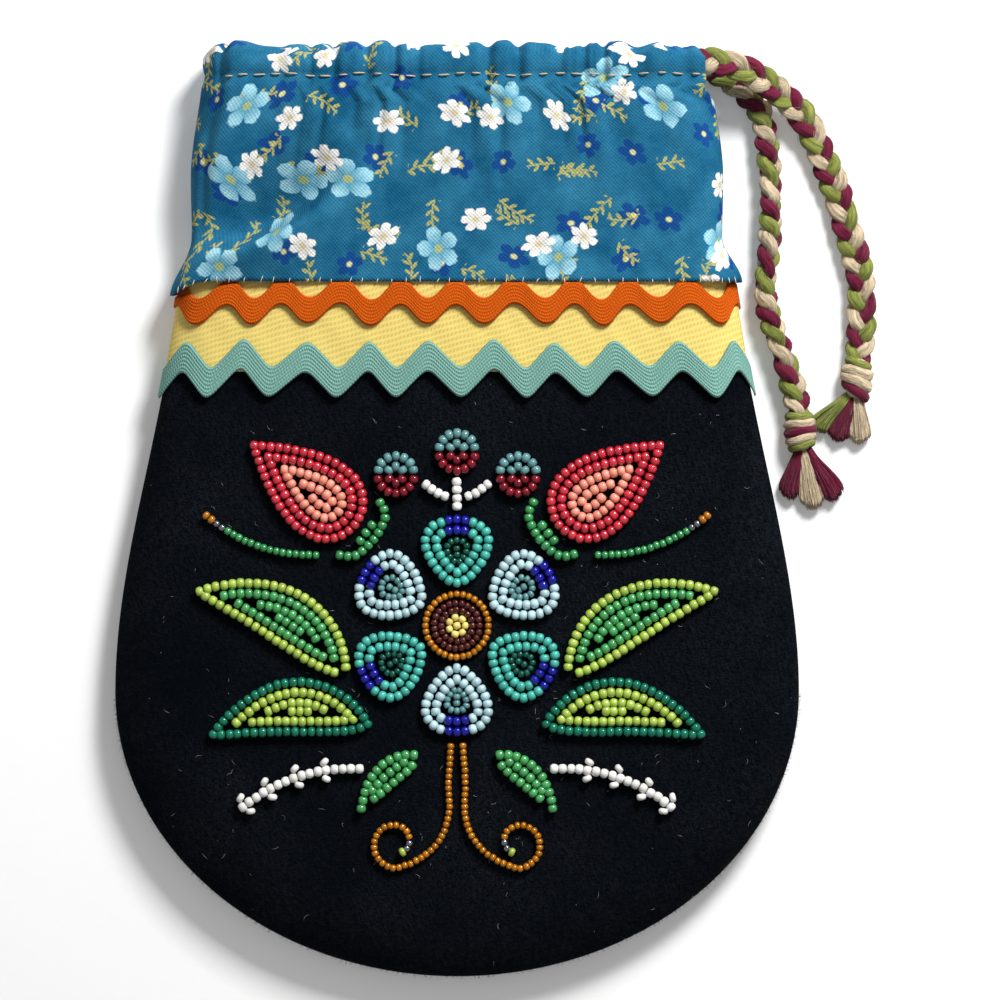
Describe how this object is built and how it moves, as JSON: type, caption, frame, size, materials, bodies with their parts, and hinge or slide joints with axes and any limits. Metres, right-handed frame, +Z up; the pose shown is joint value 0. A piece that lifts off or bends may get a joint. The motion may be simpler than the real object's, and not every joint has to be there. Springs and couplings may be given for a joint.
{
  "type": "tobacco bag",
  "caption": "Flat wool drawstring tobacco bag with floral beadwork, rickrack trims and a gathered cotton collar.",
  "frame": {"origin": "centre of the bag's footprint on the surface it lies on, without the drawstring's tails", "axes": "+Y towards the mouth, +X towards the drawstring's side, +Z up out of the beaded front"},
  "size_m": [0.1601, 0.1965, 0.016],
  "materials": {
    "wool": "fulled wool, blue-black",
    "printed_cotton": "plain weave cotton with a small floral print",
    "yellow_twill": "cotton twill tape",
    "orange_braid": "woven rickrack",
    "teal_braid": "woven rickrack",
    "wool_yarn": "wool yarn in cream, olive and maroon",
    "turquoise_beads": "glossy seed beads",
    "pale_blue_beads": "glossy seed beads",
    "emerald_beads": "glossy seed beads",
    "aqua_beads": "glossy seed beads",
    "gold_beads": "glossy seed beads",
    "maroon_beads": "glossy seed beads",
    "yellow_beads": "glossy seed beads",
    "red_beads": "glossy seed beads",
    "coral_beads": "glossy seed beads",
    "green_beads": "glossy seed beads",
    "white_beads": "glossy seed beads",
    "lime_beads": "glossy seed beads",
    "mid_green_beads": "glossy seed beads",
    "dark_green_beads": "glossy seed beads"
  },
  "bodies": {
    "root": {"front_panel": "wool", "back_panel": "wool", "collar_front": "printed_cotton", "collar_back": "printed_cotton", "yellow_band_front": "yellow_twill", "yellow_band_back": "yellow_twill", "orange_rickrack_front": "orange_braid", "orange_rickrack_back": "orange_braid", "teal_rickrack_front": "teal_braid", "teal_rickrack_back": "teal_braid", "drawstring": "wool_yarn", "knot_outer": "wool_yarn", "knot_inner": "wool_yarn", "tassel_outer": "wool_yarn", "tassel_inner": "wool_yarn", "petal_1": "turquoise_beads", "petal_3": "turquoise_beads", "petal_5": "turquoise_beads", "petal_2": "pale_blue_beads", "petal_4": "pale_blue_beads", "petal_6": "pale_blue_beads", "petal_drop_1": "emerald_beads", "petal_drop_3": "emerald_beads", "petal_drop_5": "emerald_beads", "petal_drop_2": "aqua_beads", "petal_drop_4": "aqua_beads", "petal_drop_6": "aqua_beads", "berry_left_aqua": "aqua_beads", "berry_middle_aqua": "aqua_beads", "berry_right_aqua": "aqua_beads", "rosette_gold_ring": "gold_beads", "gold_scroll_left": "gold_beads", "gold_scroll_right": "gold_beads", "rosette_maroon_ring": "maroon_beads", "berry_left_red": "maroon_beads", "berry_middle_red": "maroon_beads", "berry_right_red": "maroon_beads", "rosette_yellow_centre": "yellow_beads", "bud_left_shell": "red_beads", "bud_right_shell": "red_beads", "bud_left_fill": "coral_beads", "bud_right_fill": "coral_beads", "bud_left_sepals": "green_beads", "bud_right_sepals": "green_beads", "green_curl_left": "green_beads", "green_curl_right": "green_beads", "white_stem": "white_beads", "white_sprig_left": "white_beads", "white_sprig_right": "white_beads", "lime_leaf_left_rim": "lime_beads", "lime_leaf_right_rim": "lime_beads", "dark_leaf_left_fill": "lime_beads", "dark_leaf_right_fill": "lime_beads", "lime_leaf_left_fill": "mid_green_beads", "lime_leaf_right_fill": "mid_green_beads", "small_leaf_left": "mid_green_beads", "small_leaf_right": "mid_green_beads", "dark_leaf_left_rim": "dark_green_beads", "dark_leaf_right_rim": "dark_green_beads"}
  },
  "joints": []
}
